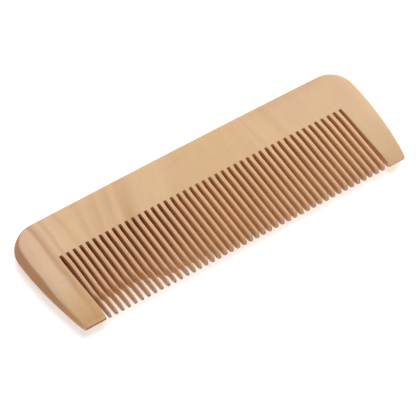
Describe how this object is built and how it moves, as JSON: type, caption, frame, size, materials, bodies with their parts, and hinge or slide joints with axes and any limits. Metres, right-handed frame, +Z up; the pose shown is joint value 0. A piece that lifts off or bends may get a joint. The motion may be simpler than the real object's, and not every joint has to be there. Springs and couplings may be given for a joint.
{
  "type": "wooden comb",
  "caption": "Flat one-piece wooden hair comb: a solid rounded back, two end guards and a long row of fine, tapered, blunt teeth.",
  "frame": {"origin": "centre of the bounding box in plan, on the surface that the comb lies on", "axes": "+X along the comb's length, +Y from the tooth tips to the spine, +Z up through its thickness"},
  "size_m": [0.1598, 0.0538, 0.008],
  "materials": {
    "wood": "fine-sanded, bare, matt"
  },
  "bodies": {
    "root": {"comb": "wood"}
  },
  "joints": []
}
